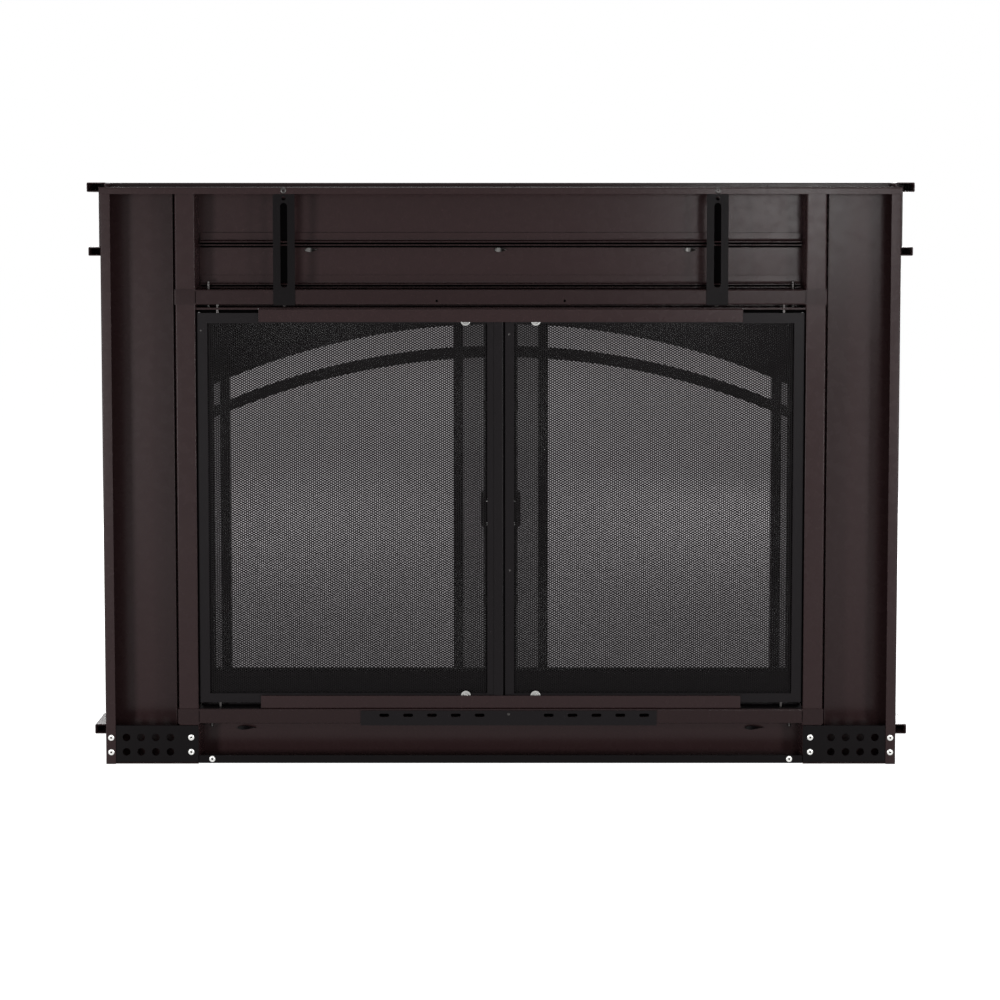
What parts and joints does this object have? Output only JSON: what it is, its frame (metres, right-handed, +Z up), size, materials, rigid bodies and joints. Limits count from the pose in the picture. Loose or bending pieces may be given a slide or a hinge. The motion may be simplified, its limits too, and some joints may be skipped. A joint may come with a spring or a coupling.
{
  "type": "fireplace glass door",
  "caption": "Free-standing steel fireplace surround with arched smoked-glass double doors, mesh doors behind them, lintel straps and a draught slider.",
  "frame": {"origin": "middle of the outline on the hearth plane", "axes": "+X to the right as seen from the room, -Y towards the room, +Y towards the firebox, +Z up"},
  "size_m": [1.181, 0.0654, 0.8405],
  "materials": {
    "bronze_powder_coat": "satin powder coat, dark bronze",
    "black_steel": "semi-matt black paint",
    "door_black": "satin black paint",
    "screen_black": "semi-matt charcoal paint",
    "mesh_wire": "black coated woven wire",
    "bright_steel": "zinc plated",
    "smoked_glass": "smoked tempered glass"
  },
  "bodies": {
    "surround": {"top_plate": "bronze_powder_coat", "left_side_panel": "bronze_powder_coat", "right_side_panel": "bronze_powder_coat", "left_inner_stile": "bronze_powder_coat", "right_inner_stile": "bronze_powder_coat", "frieze": "bronze_powder_coat", "header_panel": "bronze_powder_coat", "crown": "bronze_powder_coat", "header_trim": "bronze_powder_coat", "header_trim_tabs": "black_steel", "base_panel": "bronze_powder_coat", "base_ledge": "bronze_powder_coat", "base_ledge_tabs": "black_steel", "base_angle": "black_steel", "base_angle_rivets": "bright_steel", "top_inner_rail": "bronze_powder_coat", "bottom_inner_rail": "bronze_powder_coat", "upper_stop_strip": "bronze_powder_coat", "lower_stop_strip": "bronze_powder_coat", "left_lintel_strap": "black_steel", "right_lintel_strap": "black_steel", "lintel_strap_screws": "bright_steel", "left_corner_plate": "black_steel", "right_corner_plate": "black_steel", "corner_plate_rivets": "bright_steel", "glass_door_magnet": "black_steel"},
    "slider": {"draught_slider": "black_steel", "slider_lever": "black_steel", "slider_knob": "black_steel"},
    "left_glass_door": {"left_door_hinge_stile": "door_black", "left_door_meeting_stile": "door_black", "left_door_bottom_rail": "door_black", "left_door_spandrel": "door_black", "left_door_arched_bars": "door_black", "left_door_pane": "smoked_glass", "left_door_pane_clips": "bright_steel", "left_door_handle": "door_black", "left_door_handle_screws": "bright_steel", "left_door_pins": "bright_steel"},
    "right_glass_door": {"right_door_hinge_stile": "door_black", "right_door_meeting_stile": "door_black", "right_door_bottom_rail": "door_black", "right_door_spandrel": "door_black", "right_door_arched_bars": "door_black", "right_door_pane": "smoked_glass", "right_door_pane_clips": "bright_steel", "right_door_handle": "door_black", "right_door_handle_screws": "bright_steel", "right_door_pins": "bright_steel"},
    "left_mesh_door": {"left_mesh_frame": "screen_black", "left_mesh": "mesh_wire", "left_mesh_strikes": "bright_steel", "left_mesh_pins": "bright_steel"},
    "right_mesh_door": {"right_mesh_frame": "screen_black", "right_mesh": "mesh_wire", "right_mesh_strikes": "bright_steel", "right_mesh_pins": "bright_steel", "mesh_cover_strip": "screen_black"}
  },
  "joints": [
    {"name": "left_glass_door_hinge", "type": "hinge", "parent": "surround", "child": "left_glass_door", "pos_m": [-0.422, 0.00223, 0.37], "axis": [0, 0, -1], "range_deg": [0, 105]},
    {"name": "right_glass_door_hinge", "type": "hinge", "parent": "surround", "child": "right_glass_door", "pos_m": [0.422, 0.00223, 0.37], "axis": [0, 0, 1], "range_deg": [0, 105]},
    {"name": "left_mesh_door_hinge", "type": "hinge", "parent": "surround", "child": "left_mesh_door", "pos_m": [-0.4065, 0.01985, 0.37], "axis": [0, 0, -1], "range_deg": [0, 90]},
    {"name": "right_mesh_door_hinge", "type": "hinge", "parent": "surround", "child": "right_mesh_door", "pos_m": [0.4065, 0.01985, 0.37], "axis": [0, 0, 1], "range_deg": [0, 90]},
    {"name": "draught_slide", "type": "slide", "parent": "surround", "child": "slider", "axis": [1, 0, 0], "range_m": [0, 0.01725]}
  ],
  "couplings": [
    {"joint": "left_mesh_door_hinge", "follows": "left_glass_door_hinge", "ratio": 0.85},
    {"joint": "right_mesh_door_hinge", "follows": "right_glass_door_hinge", "ratio": 0.85}
  ]
}
